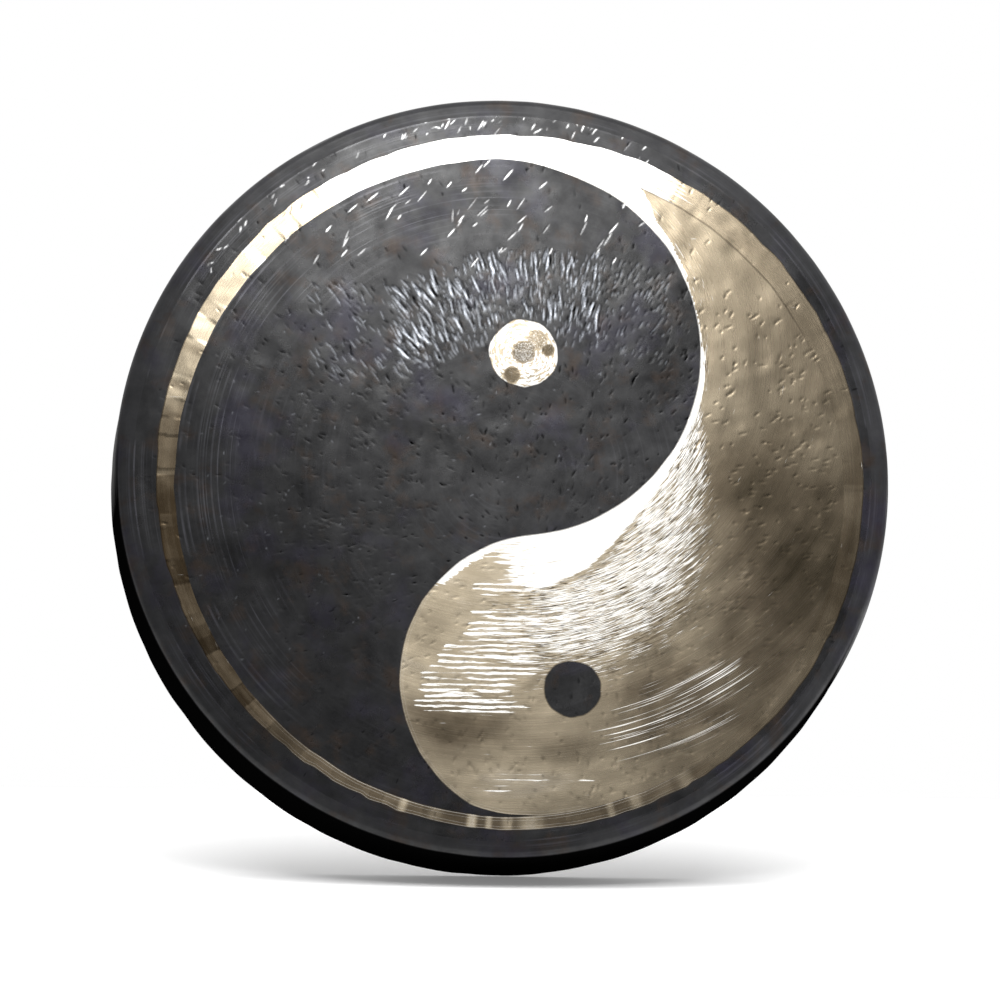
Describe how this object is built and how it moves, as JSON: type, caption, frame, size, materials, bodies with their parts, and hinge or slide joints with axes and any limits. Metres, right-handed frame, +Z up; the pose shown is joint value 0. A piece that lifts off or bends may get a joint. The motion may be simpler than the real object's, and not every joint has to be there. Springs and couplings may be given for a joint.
{
  "type": "tam-tam gong",
  "caption": "Round bronze chau gong with a turned-back rim, cord holes and a scraped bright-and-dark two-field face; hangs from cords and is struck on its face.",
  "frame": {"origin": "centre of the playing face, on its front surface", "axes": "+Y along the gong's axis, from the playing face into the rim's hollow; the face looks along -Y; +Z up as it hangs, with the cord holes at the top"},
  "size_m": [0.6, 0.078, 0.6],
  "materials": {
    "dark_patina": "hammered bell bronze under a black heat oxide, satin",
    "scraped_bronze": "bell bronze scraped bright and brushed",
    "rim_patina": "hammered bell bronze under a black-brown forge oxide, matt"
  },
  "bodies": {
    "root": {"dark_field": "dark_patina", "bright_field": "scraped_bronze", "bright_eye": "scraped_bronze", "dark_eye": "dark_patina", "scraped_ring": "scraped_bronze", "outer_band": "dark_patina", "shoulder_bend": "rim_patina", "rim_wall": "rim_patina"}
  },
  "joints": []
}
